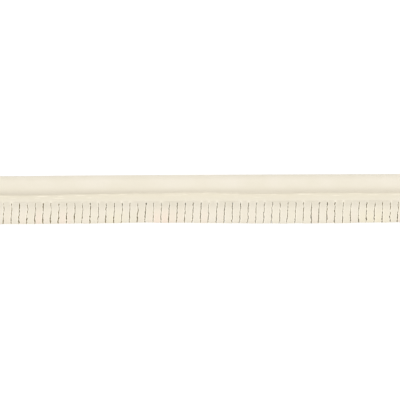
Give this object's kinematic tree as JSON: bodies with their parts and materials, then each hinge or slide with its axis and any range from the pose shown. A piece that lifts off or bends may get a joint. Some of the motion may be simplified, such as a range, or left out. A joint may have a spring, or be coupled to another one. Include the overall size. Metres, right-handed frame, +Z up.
{
  "type": "leather piping",
  "caption": "Cut length of upholstery piping: a strip of cream leather folded round a bead, its two-layer flange slit into narrow tabs so that it bends round curves.",
  "frame": {"origin": "on the surface that the piping lies on, in the middle of its length and width", "axes": "+X along the piping, +Y across it from the slit edge towards the bead, +Z up, out of the front of the piping"},
  "size_m": [0.1248, 0.0128, 0.0049],
  "materials": {
    "cream_leather": "satin"
  },
  "bodies": {
    "root": {"leather_piping": "cream_leather"}
  },
  "joints": []
}
